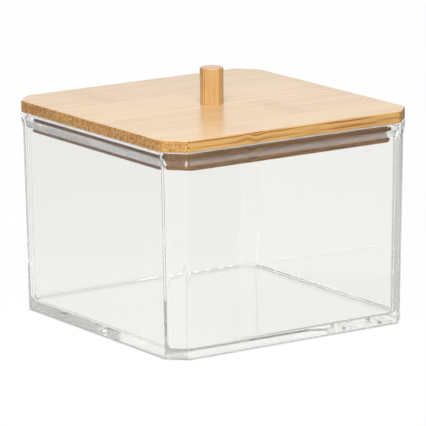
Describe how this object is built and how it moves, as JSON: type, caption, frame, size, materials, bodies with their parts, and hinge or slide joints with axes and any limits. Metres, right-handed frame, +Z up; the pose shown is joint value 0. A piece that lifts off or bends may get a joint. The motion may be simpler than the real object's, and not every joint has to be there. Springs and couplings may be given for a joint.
{
  "type": "lidded storage box",
  "caption": "Square clear plastic box with flat corners and a flared rim, closed by a bamboo lid with a plug board below and a turned bamboo knob, for small bathroom things.",
  "frame": {"origin": "centre of the tub's underside, on the surface that the box stands on", "axes": "+Z up through the middle of the knob, +X and +Y square to the walls, which are alike on all four sides; the picture looks at the flat corner between the -X and -Y walls"},
  "size_m": [0.1114, 0.1114, 0.0963],
  "materials": {
    "clear_plastic": "clear, glossy moulded polystyrene",
    "bamboo_board": "pale bamboo under a satin lacquer",
    "bamboo_dowel": "turned bamboo under a satin lacquer",
    "zinc_plated_steel": "zinc plated"
  },
  "bodies": {
    "tub": {"tub": "clear_plastic"},
    "lid": {"lid_plate": "bamboo_board", "lid_plug": "bamboo_board", "knob": "bamboo_dowel", "knob_screw": "zinc_plated_steel"}
  },
  "joints": [
    {"name": "lid_lift", "type": "slide", "parent": "tub", "child": "lid", "axis": [0, 0, 1], "range_m": [0, 0.06]}
  ]
}
